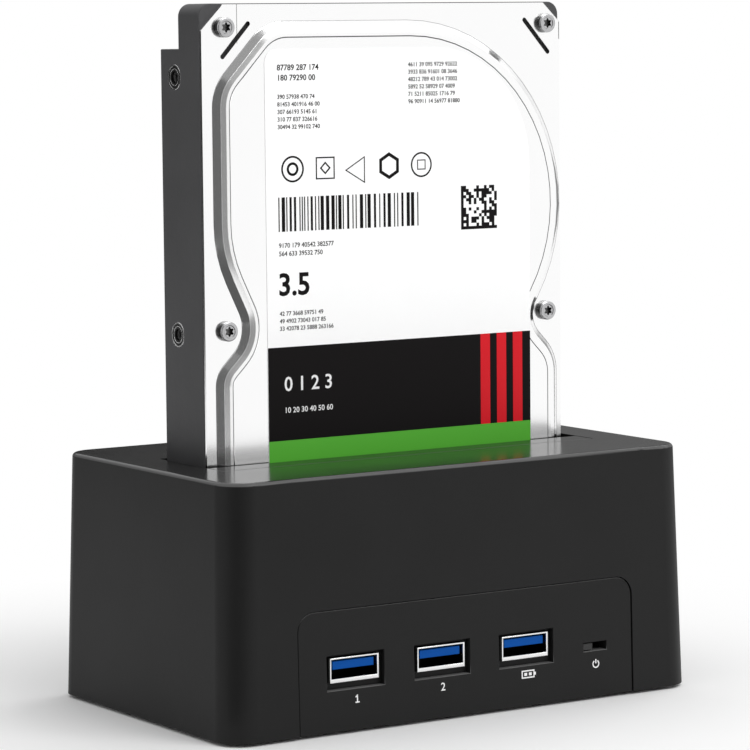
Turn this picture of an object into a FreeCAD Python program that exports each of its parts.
import FreeCAD, Part
import math
import os

# An open-top dock with a 3.5 inch drive standing in its slot.
# Millimetres. Origin at the middle of the footprint, on the surface it stands on.
# +X is the viewer's right, +Y is the back, +Z is up.

Vector = FreeCAD.Vector
X_AXIS = Vector(1, 0, 0)
Y_AXIS = Vector(0, 1, 0)
Z_AXIS = Vector(0, 0, 1)

# Dock housing
TOP_WIDTH = 128.0
TOP_DEPTH = 79.0
HEIGHT = 59.5
DRAFT_DEGREES = 1.5
CORNER_RADIUS = 7.0
TOP_EDGE_RADIUS = 1.0
FOOT_LIFT = 0.8
WALL = 2.2
TOP_WALL = 2.5
SEAM = 0.25

# Drive, a standard 3.5 inch body
DRIVE_WIDTH = 101.6
DRIVE_LENGTH = 147.0
DRIVE_THICKNESS = 20.2
DRIVE_CENTRE_X = -0.8
DRIVE_BACK_Y = 10.4
DRIVE_BOTTOM_Z = 19.3
COVER_RAISE = 1.6
COVER_SHEET = 0.8

# Slot and flap
SLOT_HALF = 52.8
SLOT_FRONT_Y = -17.8
SLOT_BACK_Y = 11.8
FLAP_THICKNESS = 1.4
FLAP_GAP = 0.3
FLAP_FREE_EDGE_Y = -10.7
FLAP_AXIS_Y = -17.0
FLAP_AXIS_Z = 58.3
FLAP_PIN_RADIUS = 0.6
FLAP_PIN_LENGTH = 1.2
PIN_FIT = 0.05

# Drive well
WELL_WALL = 1.6
WELL_FLOOR_TOP = 19.0
WELL_FLANGE = 4.0
FLANGE_SHEET = 1.6
WELL_RELIEF = 0.3

# Port panel
ARCH_HALF = 47.3
ARCH_TOP = 29.0
ARCH_RADIUS = 4.7
PANEL_THICKNESS = 3.0
PANEL_SET_BACK = 0.2
PORT_CENTRES_X = (-31.7, -7.8, 16.1)
PORT_CENTRE_Z = 14.85
PORT_RECESS_WIDTH = 15.6
PORT_RECESS_HEIGHT = 8.2
PORT_RECESS_DEPTH = 1.8
PORT_RECESS_DROP = 0.45
USB_WIDTH = 13.2
USB_HEIGHT = 5.7
USB_DEPTH = 14.0
USB_SHEET = 0.3
USB_SET_BACK = 0.6
USB_HOLE_GAP = 0.2
TONGUE_WIDTH = 11.1
TONGUE_THICKNESS = 1.84
TONGUE_RISE = 1.05

# Power switch
SWITCH_X = 36.2
SWITCH_Z = 12.85
SWITCH_SLOT_WIDTH = 6.8
SWITCH_SLOT_HEIGHT = 2.1
SWITCH_NUB_WIDTH = 2.6
SWITCH_NUB_HEIGHT = 1.5
SWITCH_TRAVEL = 3.6
SWITCH_BODY_WIDTH = 9.0
SWITCH_BODY_DEPTH = 4.0
SWITCH_BODY_HEIGHT = 3.7

# Main board
BOARD_TOP = 11.0
BOARD_THICKNESS = 1.6
BOARD_HALF = 50.5
BOARD_FRONT_Y = -36.6
BOARD_BACK_Y = 37.0
BOARD_HOLES = ((-44.0, -20.0), (44.0, -20.0), (-44.0, 30.0), (44.0, 30.0))

# Serial drive connector, shared by the dock's socket and the drive's plug
CONNECTOR_OFFSET_X = -20.5
CONNECTOR_Y = 5.9
SOCKET_WIDTH = 42.0
SOCKET_DEPTH = 5.2
SOCKET_INSERT = 5.6
BLADES = ((-13.9, 10.4), (7.9, 20.6))
BLADE_THICKNESS = 1.2
BLADE_GAP = 0.25

# Rear sockets
USB_B_X = -20.0
USB_B_WIDTH = 12.0
USB_B_HEIGHT = 10.5
USB_B_DEPTH = 15.0
DC_X = 22.0
DC_WIDTH = 9.0
DC_HEIGHT = 11.0
DC_DEPTH = 13.5
DC_BORE = 6.4
DC_PIN = 2.1

# Fasteners
BOSS_X = 55.0
BOSS_Y = 31.0
BOSS_RADIUS = 3.4
SCREW_HEAD_RADIUS = 2.6
SCREW_SHANK_RADIUS = 1.3
WELL_SHANK_RADIUS = 1.0
POST_RADIUS = 3.0
HOLE_GAP = 0.05
FOOT_RADIUS = 5.0
FOOT_X = 46.0
FOOT_Y = 27.0
COVER_PLATE = 2.0

# Values that follow from the ones above
TAPER = math.tan(math.radians(DRAFT_DEGREES))
DRIVE_FRONT_Y = DRIVE_BACK_Y - DRIVE_THICKNESS
MARGIN_Y = DRIVE_FRONT_Y + COVER_RAISE
CASTING_FRONT_Y = MARGIN_Y + COVER_SHEET
DRIVE_TOP_Z = DRIVE_BOTTOM_Z + DRIVE_LENGTH
BOARD_BOTTOM = BOARD_TOP - BOARD_THICKNESS
CONNECTOR_X = DRIVE_CENTRE_X + CONNECTOR_OFFSET_X
COVER_TOP = FOOT_LIFT + COVER_PLATE


def box(x0, x1, y0, y1, z0, z1):
    return Part.makeBox(x1 - x0, y1 - y0, z1 - z0, Vector(x0, y0, z0))


def rod(radius, length, start, direction=Z_AXIS):
    return Part.makeCylinder(radius, length, start, direction)


def peg(radius, length, start, direction=Z_AXIS, sides=12):
    # A many-sided round: screws, posts and their holes that stay out of sight.
    turn = FreeCAD.Rotation(Z_AXIS, direction)
    points = []
    for step in range(sides):
        angle = 2 * math.pi * step / sides
        flat = Vector(radius * math.cos(angle), radius * math.sin(angle), 0)
        points.append(turn.multVec(flat) + start)
    face = Part.Face(Part.makePolygon(points + points[:1]))
    along = Vector(direction)
    along.normalize()
    return face.extrude(along * length)


def screw(head_radius, head_height, shank_radius, shank_length, seat, direction, sides=12):
    # Head on one side of the seat, shank on the other; direction runs down the shank.
    head = peg(head_radius, head_height, seat - direction * head_height, direction, sides)
    return join([head, peg(shank_radius, shank_length, seat, direction)])


def join(shapes):
    whole = shapes[0]
    for shape in shapes[1:]:
        whole = whole.fuse(shape)
    return whole.removeSplitter()


def rounded_outline(half_x, half_y, radius, z):
    # Four sides and four quarter arcs, drawn once round from the front left.
    corners = ((1, -1, -90), (1, 1, 0), (-1, 1, 90), (-1, -1, 180))
    edges = []
    ends = []
    for side_x, side_y, start in corners:
        centre = Vector(side_x * (half_x - radius), side_y * (half_y - radius), z)
        arc = Part.makeCircle(radius, centre, Z_AXIS, start, start + 90)
        edges.append(arc)
        ends.append((arc.valueAt(arc.FirstParameter), arc.valueAt(arc.LastParameter)))
    wire_edges = []
    for index, arc in enumerate(edges):
        wire_edges.append(arc)
        following = ends[(index + 1) % 4][0]
        wire_edges.append(Part.makeLine(ends[index][1], following))
    return Part.Wire(wire_edges)


def housing_body(inset, z0, z1):
    # The drafted outer form of the dock, brought in by one distance all round.
    wires = []
    for z in (z0, z1):
        spread = TAPER * (HEIGHT - z) - inset
        radius = max(CORNER_RADIUS - inset, 1.0)
        wires.append(rounded_outline(TOP_WIDTH / 2 + spread, TOP_DEPTH / 2 + spread, radius, z))
    return Part.makeLoft(wires, True, True)


def front_y(z, inset=0.0):
    return -(TOP_DEPTH / 2 + TAPER * (HEIGHT - z)) + inset


def upright_plate(points, y0, y1):
    # A flat outline in X and Z, given depth along Y.
    vectors = [Vector(x, y0, z) for x, z in points]
    face = Part.Face(Part.makePolygon(vectors + vectors[:1]))
    return face.extrude(Vector(0, y1 - y0, 0))


def arch(half, top, radius, y0, y1, bottom):
    # A doorway outline: straight sides, two rounded shoulders, flat top.
    left = Vector(-half, y0, bottom)
    right = Vector(half, y0, bottom)
    shoulder_left = Vector(-half, y0, top - radius)
    shoulder_right = Vector(half, y0, top - radius)
    crown_left = Vector(-half + radius, y0, top)
    crown_right = Vector(half - radius, y0, top)
    bend = radius * (1 - math.sqrt(0.5))
    mid_left = Vector(-half + bend, y0, top - bend)
    mid_right = Vector(half - bend, y0, top - bend)
    edges = [
        Part.makeLine(right, left),
        Part.makeLine(left, shoulder_left),
        Part.Arc(shoulder_left, mid_left, crown_left).toShape(),
        Part.makeLine(crown_left, crown_right),
        Part.Arc(crown_right, mid_right, shoulder_right).toShape(),
        Part.makeLine(shoulder_right, right),
    ]
    return Part.Face(Part.Wire(edges)).extrude(Vector(0, y1 - y0, 0))


def edges_where(shape, test):
    return [edge for edge in shape.Edges if test(edge.BoundBox)]


def boss_places():
    return [(sx * BOSS_X, sy * BOSS_Y) for sx in (-1, 1) for sy in (-1, 1)]


def well_screw_places():
    # In the well's flange, in front of and behind the well.
    outside = WELL_RELIEF + WELL_WALL + WELL_FLANGE / 2
    front = SLOT_FRONT_Y - outside
    back = SLOT_BACK_Y + outside
    return [(x, y) for x in (-40.0, 40.0) for y in (front, back)]


def upper_housing():
    outer = housing_body(0, FOOT_LIFT, HEIGHT)
    rim = edges_where(outer, lambda b: b.ZMin > HEIGHT - 0.01)
    outer = outer.makeFillet(TOP_EDGE_RADIUS, rim)
    inner = housing_body(WALL, FOOT_LIFT - 1, HEIGHT - TOP_WALL)
    shell = outer.cut(inner)
    ceiling = HEIGHT - TOP_WALL
    bosses = [peg(BOSS_RADIUS, ceiling - COVER_TOP + 0.5, Vector(x, y, COVER_TOP)) for x, y in boss_places()]
    shell = join([shell] + bosses)
    for x, y in boss_places():
        shell = shell.cut(peg(SCREW_SHANK_RADIUS + HOLE_GAP, 10, Vector(x, y, COVER_TOP - 0.5)))
    shell = shell.cut(box(-SLOT_HALF, SLOT_HALF, SLOT_FRONT_Y, SLOT_BACK_Y, ceiling - 1, HEIGHT + 1))
    pin_hole = FLAP_PIN_LENGTH + FLAP_GAP
    pins = Vector(-SLOT_HALF - pin_hole, FLAP_AXIS_Y, FLAP_AXIS_Z)
    shell = shell.cut(rod(FLAP_PIN_RADIUS + PIN_FIT, 2 * (SLOT_HALF + pin_hole), pins, X_AXIS))
    shell = shell.cut(arch(ARCH_HALF, ARCH_TOP, ARCH_RADIUS, -60, -34, FOOT_LIFT - 1))
    for x, y in well_screw_places():
        shell = shell.cut(peg(WELL_SHANK_RADIUS + HOLE_GAP, 1.6, Vector(x, y, ceiling - 0.1)))
    return shell.cut(rear_openings(SEAM))


def rear_openings(gap):
    z = BOARD_TOP
    usb = box(USB_B_X - USB_B_WIDTH / 2 - gap, USB_B_X + USB_B_WIDTH / 2 + gap, 36, 60,
              z - gap, z + USB_B_HEIGHT + gap)
    jack = box(DC_X - DC_WIDTH / 2 - gap, DC_X + DC_WIDTH / 2 + gap, 36, 60,
               z - gap, z + DC_HEIGHT + gap)
    return usb.fuse(jack)


def port_panel():
    body = housing_body(PANEL_SET_BACK, FOOT_LIFT, 40)
    hollow = housing_body(PANEL_SET_BACK + PANEL_THICKNESS, FOOT_LIFT - 1, 41)
    doorway = arch(ARCH_HALF - SEAM, ARCH_TOP - SEAM, ARCH_RADIUS - SEAM, -60, -34, FOOT_LIFT)
    panel = body.cut(hollow).common(doorway)
    face = front_y(PORT_CENTRE_Z, PANEL_SET_BACK)
    recess_middle = PORT_CENTRE_Z - PORT_RECESS_DROP
    for x in PORT_CENTRES_X:
        panel = panel.cut(box(x - PORT_RECESS_WIDTH / 2, x + PORT_RECESS_WIDTH / 2, face - 3,
                              face + PORT_RECESS_DEPTH, recess_middle - PORT_RECESS_HEIGHT / 2,
                              recess_middle + PORT_RECESS_HEIGHT / 2))
        half_x = USB_WIDTH / 2 + USB_HOLE_GAP
        half_z = USB_HEIGHT / 2 + USB_HOLE_GAP
        panel = panel.cut(box(x - half_x, x + half_x, face - 3, face + 6,
                              PORT_CENTRE_Z - half_z, PORT_CENTRE_Z + half_z))
    half_x = SWITCH_SLOT_WIDTH / 2
    half_z = SWITCH_SLOT_HEIGHT / 2
    return panel.cut(box(SWITCH_X - half_x, SWITCH_X + half_x, face - 3, face + 6,
                         SWITCH_Z - half_z, SWITCH_Z + half_z))


def bottom_cover():
    plate = housing_body(WALL + SEAM, FOOT_LIFT, COVER_TOP)
    panel_room = PANEL_SET_BACK + PANEL_THICKNESS + SEAM
    notch = box(-ARCH_HALF - SEAM, ARCH_HALF + SEAM, -60, front_y(FOOT_LIFT, panel_room), 0, 5)
    plate = plate.cut(notch)
    rise = BOARD_BOTTOM - COVER_TOP + 0.5
    posts = [peg(POST_RADIUS, rise, Vector(x, y, COVER_TOP - 0.5)) for x, y in BOARD_HOLES]
    plate = join([plate] + posts)
    for x, y in BOARD_HOLES:
        plate = plate.cut(peg(SCREW_SHANK_RADIUS + HOLE_GAP, 6, Vector(x, y, BOARD_BOTTOM - 5)))
    for x, y in boss_places():
        plate = plate.cut(peg(SCREW_SHANK_RADIUS + HOLE_GAP, 6, Vector(x, y, 0)))
        plate = plate.cut(peg(SCREW_HEAD_RADIUS + 0.2, 1.2, Vector(x, y, FOOT_LIFT - 0.2), Z_AXIS, 24))
    for x, y in foot_places():
        plate = plate.cut(peg(FOOT_RADIUS + HOLE_GAP, 1.0, Vector(x, y, FOOT_LIFT - 0.2), Z_AXIS, 32))
    return plate


def foot_places():
    return [(sx * FOOT_X, sy * FOOT_Y) for sx in (-1, 1) for sy in (-1, 1)]


def rubber_feet():
    feet = []
    for x, y in foot_places():
        foot = peg(FOOT_RADIUS, FOOT_LIFT + 0.8, Vector(x, y, 0), Z_AXIS, 32)
        foot = foot.makeChamfer(0.3, edges_where(foot, lambda b: b.ZMax < 0.01))
        feet.append(foot)
    return Part.makeCompound(feet)


def housing_screws():
    screws = []
    for x, y in boss_places():
        seat = Vector(x, y, FOOT_LIFT + 1.0)
        screws.append(screw(SCREW_HEAD_RADIUS, 0.9, SCREW_SHANK_RADIUS, 9.6, seat, Z_AXIS, 24))
    return Part.makeCompound(screws)


def drive_well():
    ceiling = HEIGHT - TOP_WALL
    inner_x = SLOT_HALF + WELL_RELIEF
    front = SLOT_FRONT_Y - WELL_RELIEF
    back = SLOT_BACK_Y + WELL_RELIEF
    outer = box(-inner_x - WELL_WALL, inner_x + WELL_WALL, front - WELL_WALL, back + WELL_WALL,
                WELL_FLOOR_TOP - WELL_WALL, ceiling)
    flange = box(-inner_x - WELL_WALL, inner_x + WELL_WALL, front - WELL_WALL - WELL_FLANGE,
                 back + WELL_WALL + WELL_FLANGE, ceiling - FLANGE_SHEET, ceiling)
    well = join([outer, flange])
    well = well.cut(box(-inner_x, inner_x, front, back, WELL_FLOOR_TOP, ceiling + 1))
    gap = 0.3
    well = well.cut(box(CONNECTOR_X - SOCKET_WIDTH / 2 - gap, CONNECTOR_X + SOCKET_WIDTH / 2 + gap,
                        CONNECTOR_Y - SOCKET_DEPTH / 2 - gap, CONNECTOR_Y + SOCKET_DEPTH / 2 + gap, 10, 22))
    for x, y in well_screw_places():
        well = well.cut(peg(WELL_SHANK_RADIUS + HOLE_GAP, 4, Vector(x, y, ceiling - 3)))
    return well


def well_screws():
    ceiling = HEIGHT - TOP_WALL
    screws = []
    for x, y in well_screw_places():
        seat = Vector(x, y, ceiling - FLANGE_SHEET)
        screws.append(screw(1.9, 1.2, WELL_SHANK_RADIUS, 2.8, seat, Z_AXIS))
    return Part.makeCompound(screws)


def slot_flap():
    half = SLOT_HALF - FLAP_GAP
    plate = box(-half, half, SLOT_FRONT_Y + FLAP_GAP, FLAP_FREE_EDGE_Y, HEIGHT - FLAP_THICKNESS, HEIGHT)
    reach = half + FLAP_PIN_LENGTH
    pin = rod(FLAP_PIN_RADIUS, 2 * reach, Vector(-reach, FLAP_AXIS_Y, FLAP_AXIS_Z), X_AXIS)
    return join([plate, pin])


def main_board():
    board = box(-BOARD_HALF, BOARD_HALF, BOARD_FRONT_Y, BOARD_BACK_Y, BOARD_BOTTOM, BOARD_TOP)
    for x, y in BOARD_HOLES:
        board = board.cut(peg(SCREW_SHANK_RADIUS + HOLE_GAP, 4, Vector(x, y, BOARD_BOTTOM - 1)))
    return board


def board_screws():
    screws = []
    for x, y in BOARD_HOLES:
        screws.append(screw(2.3, 1.3, SCREW_SHANK_RADIUS, 5.5, Vector(x, y, BOARD_TOP), Z_AXIS * -1))
    return Part.makeCompound(screws)


def sata_socket():
    top = DRIVE_BOTTOM_Z + SOCKET_INSERT
    body = box(CONNECTOR_X - SOCKET_WIDTH / 2, CONNECTOR_X + SOCKET_WIDTH / 2,
               CONNECTOR_Y - SOCKET_DEPTH / 2, CONNECTOR_Y + SOCKET_DEPTH / 2, BOARD_TOP, top)
    half_y = BLADE_THICKNESS / 2 + BLADE_GAP
    for offset, width in BLADES:
        half_x = width / 2 + BLADE_GAP
        middle = CONNECTOR_X + offset
        body = body.cut(box(middle - half_x, middle + half_x, CONNECTOR_Y - half_y,
                            CONNECTOR_Y + half_y, DRIVE_BOTTOM_Z - 0.6, top + 1))
    return body


def usb_shell(x):
    face = front_y(PORT_CENTRE_Z, PANEL_SET_BACK) + USB_SET_BACK
    half_x = USB_WIDTH / 2
    half_z = USB_HEIGHT / 2
    outer = box(x - half_x, x + half_x, face, face + USB_DEPTH, PORT_CENTRE_Z - half_z, PORT_CENTRE_Z + half_z)
    inner = box(x - half_x + USB_SHEET, x + half_x - USB_SHEET, face - 1, face + USB_DEPTH - USB_SHEET,
                PORT_CENTRE_Z - half_z + USB_SHEET, PORT_CENTRE_Z + half_z - USB_SHEET)
    legs = [box(x + side * 5.6 - 0.6, x + side * 5.6 + 0.6, face + 6, face + 8,
                BOARD_TOP, PORT_CENTRE_Z - half_z + USB_SHEET / 2) for side in (-1, 1)]
    return join([outer.cut(inner)] + legs)


def usb_tongue(x):
    # The insulator: a blade in the upper half and the block that carries it.
    face = front_y(PORT_CENTRE_Z, PANEL_SET_BACK) + USB_SET_BACK
    back = face + USB_DEPTH - USB_SHEET
    middle = PORT_CENTRE_Z + TONGUE_RISE
    half = TONGUE_THICKNESS / 2
    blade = box(x - TONGUE_WIDTH / 2, x + TONGUE_WIDTH / 2, face + 0.6, back, middle - half, middle + half)
    rim = USB_SHEET
    block = box(x - USB_WIDTH / 2 + rim, x + USB_WIDTH / 2 - rim, face + 9.5, back,
                PORT_CENTRE_Z - USB_HEIGHT / 2 + rim, PORT_CENTRE_Z + USB_HEIGHT / 2 - rim)
    return join([blade, block])


def switch_front():
    return front_y(PORT_CENTRE_Z, PANEL_SET_BACK) + PANEL_THICKNESS + 0.3


def power_switch_body():
    front = switch_front()
    half = SWITCH_BODY_WIDTH / 2
    body = box(SWITCH_X - half, SWITCH_X + half, front, front + SWITCH_BODY_DEPTH,
               BOARD_TOP, BOARD_TOP + SWITCH_BODY_HEIGHT)
    slot_half = SWITCH_SLOT_WIDTH / 2
    return body.cut(box(SWITCH_X - slot_half, SWITCH_X + slot_half, front - 1, front + 2.0,
                        SWITCH_Z - SWITCH_SLOT_HEIGHT / 2, SWITCH_Z + SWITCH_SLOT_HEIGHT / 2))


def power_switch_slider():
    # Rests at the left end of its slot, ready to slide right.
    left = SWITCH_X - SWITCH_SLOT_WIDTH / 2 + 0.3
    half = SWITCH_NUB_HEIGHT / 2
    face = front_y(SWITCH_Z, PANEL_SET_BACK)
    return box(left, left + SWITCH_NUB_WIDTH, face + 0.5, switch_front() + 1.7, SWITCH_Z - half, SWITCH_Z + half)


def usb_b_socket():
    rear = -front_y(BOARD_TOP) - 0.5
    half = USB_B_WIDTH / 2
    body = box(USB_B_X - half, USB_B_X + half, rear - USB_B_DEPTH, rear, BOARD_TOP, BOARD_TOP + USB_B_HEIGHT)
    hole = box(USB_B_X - half + 1.2, USB_B_X + half - 1.2, rear - 9, rear + 1,
               BOARD_TOP + 1.2, BOARD_TOP + USB_B_HEIGHT - 1.2)
    tongue = box(USB_B_X - 2.8, USB_B_X + 2.8, rear - 9.5, rear - 0.8, BOARD_TOP + 2.8, BOARD_TOP + 6.0)
    return join([body.cut(hole), tongue])


def dc_jack():
    rear = -front_y(BOARD_TOP) - 0.5
    half = DC_WIDTH / 2
    middle = BOARD_TOP + DC_HEIGHT / 2
    body = box(DC_X - half, DC_X + half, rear - DC_DEPTH, rear, BOARD_TOP, BOARD_TOP + DC_HEIGHT)
    return body.cut(rod(DC_BORE / 2, 9.5, Vector(DC_X, rear + 0.5, middle), Y_AXIS * -1))


def dc_jack_pin():
    rear = -front_y(BOARD_TOP) - 0.5
    middle = BOARD_TOP + DC_HEIGHT / 2
    return rod(DC_PIN / 2, 8.2, Vector(DC_X, rear - 0.8, middle), Y_AXIS * -1)


def bridge_chip():
    return box(-5, 5, -16, -6, BOARD_TOP, BOARD_TOP + 1.0)


def hub_chip():
    return box(14, 21, -17, -10, BOARD_TOP, BOARD_TOP + 0.9)


def board_capacitors():
    places = ((34.0, 24.0), (34.0, 31.0), (-38.0, 22.0))
    return Part.makeCompound([peg(2.5, 5.4, Vector(x, y, BOARD_TOP), Z_AXIS, 20) for x, y in places])


# Drive outlines are given from its centre line and from its top edge.
CORNER_CHAMFER = 6.1
STEP_DEPTH = 10.4
STEP_THICKNESS = 10.3
SIDE_HOLE_HEIGHTS = (28.5, 70.1, 130.1)
SIDE_HOLE_BACK = 6.35
SIDE_HOLE_RADIUS = 1.35
SIDE_HOLE_DEPTH = 5.0
UNDER_HOLE_X = 47.63
UNDER_HOLE_HEIGHTS = (41.28, 85.73)
COVER_SCREWS = ((-44.2, 5.5), (46.9, 5.2), (-44.7, 75.5), (46.8, 75.2), (-44.2, 141.0), (44.2, 141.0))
COVER_SCREW_HEAD = 2.1
COVER_SCREW_SHANK = 1.1
COVER_SCREW_RECESS = 2.9
SCREW_SINK = 0.45
COVER_SLOTS = (((-38.5, 4.7), (-45.4, 12.2)), ((40.1, 4.4), (47.0, 12.1)))
COVER_SLOT_WIDTH = 1.1
PLATTER_DEPTH = 53.0
BOARD_POCKET_HALF = 42.0
BOARD_POCKET_DEPTH = 3.6
MOTOR_RADIUS = 13.5
DISK_ROOM_RADIUS = 48.4
DISK_ROOM_DEPTH = 11.0
ARM_BAY_HALF = 44.0
ARM_BAY_LOW = 13.0
SCREW_PILLAR_RADIUS = 4.4


def on_drive(u, below_top):
    return DRIVE_CENTRE_X + u, DRIVE_TOP_Z - below_top


def casting_outline(y0, y1):
    half = DRIVE_WIDTH / 2
    body = box(DRIVE_CENTRE_X - half, DRIVE_CENTRE_X + half, y0, y1, DRIVE_BOTTOM_Z, DRIVE_TOP_Z)
    corners = edges_where(body, lambda b: b.ZMin > DRIVE_TOP_Z - 0.01 and b.XLength < 0.01)
    return body.makeFillet(3.0, corners)


def drive_casting():
    casting = casting_outline(CASTING_FRONT_Y, DRIVE_BACK_Y)
    step_y = MARGIN_Y + STEP_THICKNESS
    casting = casting.cut(box(-60, 60, step_y, 20, DRIVE_TOP_Z - STEP_DEPTH, DRIVE_TOP_Z + 1))
    pocket_y = DRIVE_BACK_Y - BOARD_POCKET_DEPTH
    x = DRIVE_CENTRE_X
    casting = casting.cut(box(x - BOARD_POCKET_HALF, x + BOARD_POCKET_HALF, pocket_y, 20,
                              DRIVE_BOTTOM_Z - 1, DRIVE_BOTTOM_Z + 112))
    half = SOCKET_WIDTH / 2 + 1.2
    casting = casting.cut(box(CONNECTOR_X - half, CONNECTOR_X + half, 1.5, 20,
                              DRIVE_BOTTOM_Z - 1, DRIVE_BOTTOM_Z + 10.3))
    hole_y = DRIVE_BACK_Y - SIDE_HOLE_BACK
    edge = DRIVE_WIDTH / 2
    for height in SIDE_HOLE_HEIGHTS:
        for side in (-1, 1):
            start = Vector(x + side * edge, hole_y, DRIVE_BOTTOM_Z + height)
            inward = X_AXIS * -side
            casting = casting.cut(rod(SIDE_HOLE_RADIUS, SIDE_HOLE_DEPTH, start, inward))
            ring = Part.makeCone(SIDE_HOLE_RADIUS + 0.6, SIDE_HOLE_RADIUS, 0.6, start, inward)
            casting = casting.cut(ring)
    for height in UNDER_HOLE_HEIGHTS:
        for side in (-1, 1):
            start = Vector(x + side * UNDER_HOLE_X, DRIVE_BACK_Y, DRIVE_BOTTOM_Z + height)
            casting = casting.cut(rod(SIDE_HOLE_RADIUS, 4.0, start, Y_AXIS * -1))
    for u, below in COVER_SCREWS:
        sx, sz = on_drive(u, below)
        start = Vector(sx, CASTING_FRONT_Y - 0.5, sz)
        casting = casting.cut(peg(COVER_SCREW_SHANK + HOLE_GAP, 4.6, start, Y_AXIS))
    casting = casting.cut(disk_room())
    standoffs = [peg(2.5, 1.5, Vector(px, pocket_y, pz), Y_AXIS) for px, pz in drive_board_places()]
    return join([casting] + standoffs)


def disk_room():
    # The closed space behind the cover: a round for the disk and a bay for the head arm.
    disk_x, disk_z = on_drive(0, PLATTER_DEPTH)
    round_part = rod(DISK_ROOM_RADIUS, DISK_ROOM_DEPTH, Vector(disk_x, CASTING_FRONT_Y, disk_z), Y_AXIS)
    half = ARM_BAY_HALF
    bay = box(DRIVE_CENTRE_X - half, DRIVE_CENTRE_X + half, CASTING_FRONT_Y, CASTING_FRONT_Y + DISK_ROOM_DEPTH,
              DRIVE_BOTTOM_Z + ARM_BAY_LOW, disk_z)
    room = round_part.fuse(bay)
    for u, below in COVER_SCREWS[2:4]:
        x, z = on_drive(u, below)
        room = room.cut(rod(SCREW_PILLAR_RADIUS, 20, Vector(x, CASTING_FRONT_Y - 1, z), Y_AXIS))
    return room


def drive_board_places():
    return [(DRIVE_CENTRE_X + u, DRIVE_BOTTOM_Z + v) for u in (-36.0, 36.0) for v in (20.0, 92.0)]


def cover_plate():
    half = DRIVE_WIDTH / 2 - 0.2
    chamfer = CORNER_CHAMFER
    low = DRIVE_LENGTH - 0.2
    outline = [(-half, chamfer), (-half + chamfer, 0.2), (half - chamfer, 0.2), (half, chamfer),
               (half, low), (-half, low)]
    return upright_plate([on_drive(u, d) for u, d in outline], MARGIN_Y, CASTING_FRONT_Y)


def raised_outline():
    # Left side and its dip round the middle screw, the straight top, then the
    # round of the disk, the right dip and the foot.
    def at(u, below):
        x, z = on_drive(u, below)
        return Vector(x, MARGIN_Y, z)

    def bend(a, b, c):
        return Part.Arc(at(*a), at(*b), at(*c)).toShape()

    def line(a, b):
        return Part.makeLine(at(*a), at(*b))
    foot = 136.0
    edges = [
        line((-48.4, foot), (-48.4, 86.0)),
        bend((-48.4, 86.0), (-41.0, 75.5), (-48.4, 62.0)),
        line((-48.4, 62.0), (-48.4, 22.0)),
        bend((-48.4, 22.0), (-42.3, 12.0), (-27.6, 4.1)),
        line((-27.6, 4.1), (6.0, 4.1)),
        bend((6.0, 4.1), (34.6, 15.6), (49.2, PLATTER_DEPTH)),
        bend((49.2, PLATTER_DEPTH), (48.6, 60.0), (46.4, 66.0)),
        bend((46.4, 66.0), (41.6, 75.2), (48.4, 86.0)),
        line((48.4, 86.0), (48.4, foot)),
        line((48.4, foot), (-48.4, foot)),
    ]
    return Part.Wire(edges)


def raised_panel():
    # The stamped centre of the cover, with sloped sides.
    outline = raised_outline()
    slope = 2.6
    crown = outline.makeOffset2D(-slope, 2)
    crown.translate(Vector(0, -COVER_RAISE, 0))
    return Part.makeLoft([outline, crown], True, True)


def drive_cover():
    cover = cover_plate()
    raised = raised_panel()
    underside = raised.copy()
    underside.translate(Vector(0, COVER_SHEET, 0))
    cover = join([cover, raised]).cut(underside)
    for u, below in COVER_SCREWS:
        x, z = on_drive(u, below)
        cover = cover.cut(peg(COVER_SCREW_RECESS, 3.0, Vector(x, MARGIN_Y + SCREW_SINK, z), Y_AXIS * -1, 32))
        cover = cover.cut(peg(COVER_SCREW_SHANK + HOLE_GAP, 3.0, Vector(x, MARGIN_Y - 1, z), Y_AXIS))
    for start, end in COVER_SLOTS:
        cover = cover.cut(long_slot(start, end, COVER_SLOT_WIDTH))
    return cover


def long_slot(start, end, width):
    # A round-ended slot through the cover between two points.
    x0, z0 = on_drive(*start)
    x1, z1 = on_drive(*end)
    length = math.hypot(x1 - x0, z1 - z0)
    run = box(0, length, MARGIN_Y - 3, CASTING_FRONT_Y + 0.1, -width / 2, width / 2)
    ends = [rod(width / 2, CASTING_FRONT_Y + 0.1 - MARGIN_Y + 3, Vector(x, MARGIN_Y - 3, 0), Y_AXIS)
            for x in (0, length)]
    slot = join([run] + ends)
    slot.rotate(Vector(0, 0, 0), Y_AXIS, -math.degrees(math.atan2(z1 - z0, x1 - x0)))
    slot.translate(Vector(x0, 0, z0))
    return slot


def cover_screws():
    screws = []
    for u, below in COVER_SCREWS:
        x, z = on_drive(u, below)
        seat = Vector(x, MARGIN_Y + SCREW_SINK, z)
        screws.append(screw(COVER_SCREW_HEAD, 0.9, COVER_SCREW_SHANK, 4.0, seat, Y_AXIS, 24))
    return Part.makeCompound(screws)


LABEL_LEFT = -34.8
LABEL_RIGHT = 40.2
LABEL_TOP = 10.6
LABEL_FOOT = 132.0
LABEL_SHEET = 0.15


def drive_label():
    x0, z1 = on_drive(LABEL_LEFT, LABEL_TOP)
    x1, z0 = on_drive(LABEL_RIGHT, LABEL_FOOT)
    return box(x0, x1, DRIVE_FRONT_Y - LABEL_SHEET, DRIVE_FRONT_Y, z0, z1)


DRIVE_BOARD_HALF = 41.0
DRIVE_BOARD_SHEET = 1.0
DRIVE_BOARD_LOW = 10.6
DRIVE_BOARD_HIGH = 104.0


def drive_board_front():
    return DRIVE_BACK_Y - BOARD_POCKET_DEPTH + 1.5


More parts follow.
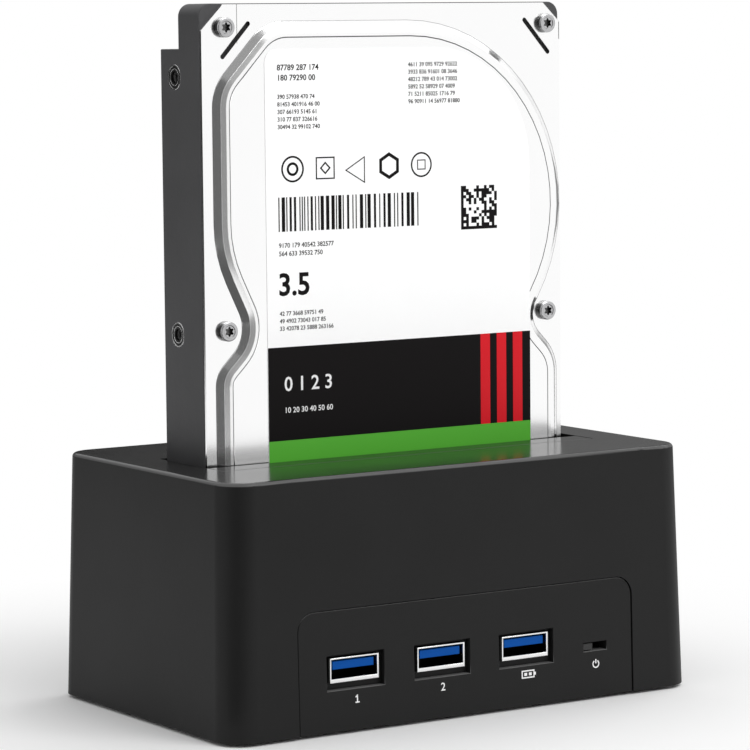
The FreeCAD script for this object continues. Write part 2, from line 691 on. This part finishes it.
def drive_board():
    y = drive_board_front()
    board = box(DRIVE_CENTRE_X - DRIVE_BOARD_HALF, DRIVE_CENTRE_X + DRIVE_BOARD_HALF, y,
                y + DRIVE_BOARD_SHEET, DRIVE_BOTTOM_Z + DRIVE_BOARD_LOW, DRIVE_BOTTOM_Z + DRIVE_BOARD_HIGH)
    for px, pz in drive_board_places():
        board = board.cut(peg(1.05, 4, Vector(px, y - 1, pz), Y_AXIS))
    motor_x, motor_z = on_drive(0, PLATTER_DEPTH)
    return board.cut(rod(MOTOR_RADIUS + 1.0, 8, Vector(motor_x, y - 3, motor_z), Y_AXIS))


def drive_board_screws():
    y = drive_board_front() + DRIVE_BOARD_SHEET
    screws = []
    for px, pz in drive_board_places():
        screws.append(screw(2.0, 0.8, 1.0, 0.95, Vector(px, y, pz), Y_AXIS * -1))
    return Part.makeCompound(screws)


def spindle_motor():
    x, z = on_drive(0, PLATTER_DEPTH)
    seat = DRIVE_BACK_Y - BOARD_POCKET_DEPTH
    disc = rod(MOTOR_RADIUS, 2.6, Vector(x, seat, z), Y_AXIS)
    return join([disc, rod(8.0, 3.2, Vector(x, seat, z), Y_AXIS)])


def drive_connector():
    # The plug's root block with its two contact blades hanging down.
    half = SOCKET_WIDTH / 2 + 0.9
    root_low = DRIVE_BOTTOM_Z + SOCKET_INSERT + 1.0
    root = box(CONNECTOR_X - half, CONNECTOR_X + half, 1.8, 10.1, root_low, DRIVE_BOTTOM_Z + 10.0)
    blades = []
    for offset, width in BLADES:
        middle = CONNECTOR_X + offset
        blades.append(box(middle - width / 2, middle + width / 2, CONNECTOR_Y - BLADE_THICKNESS / 2,
                          CONNECTOR_Y + BLADE_THICKNESS / 2, DRIVE_BOTTOM_Z + 0.6, root_low + 0.5))
    return join([root] + blades)


def model():
    pieces = {
        "upper_housing": upper_housing(),
        "port_panel": port_panel(),
        "bottom_cover": bottom_cover(),
        "rubber_feet": rubber_feet(),
        "housing_screws": housing_screws(),
        "drive_well": drive_well(),
        "well_screws": well_screws(),
        "slot_flap": slot_flap(),
        "main_board": main_board(),
        "board_screws": board_screws(),
        "sata_socket": sata_socket(),
        "power_switch_body": power_switch_body(),
        "power_switch_slider": power_switch_slider(),
        "usb_b_socket": usb_b_socket(),
        "dc_jack": dc_jack(),
        "dc_jack_pin": dc_jack_pin(),
        "bridge_chip": bridge_chip(),
        "hub_chip": hub_chip(),
        "board_capacitors": board_capacitors(),
        "drive_casting": drive_casting(),
        "drive_cover": drive_cover(),
        "cover_screws": cover_screws(),
        "drive_label": drive_label(),
        "drive_board": drive_board(),
        "drive_board_screws": drive_board_screws(),
        "spindle_motor": spindle_motor(),
        "drive_connector": drive_connector(),
    }
    for number, x in enumerate(PORT_CENTRES_X, start=1):
        pieces["usb_shell_%d" % number] = usb_shell(x)
        pieces["usb_tongue_%d" % number] = usb_tongue(x)
    return pieces


os.makedirs("parts", exist_ok=True)
for name, shape in model().items():
    shape.exportStep("parts/%s.step" % name)
    print("%-22s solids %d valid %s volume %.1f" % (name, len(shape.Solids), shape.isValid(), shape.Volume))
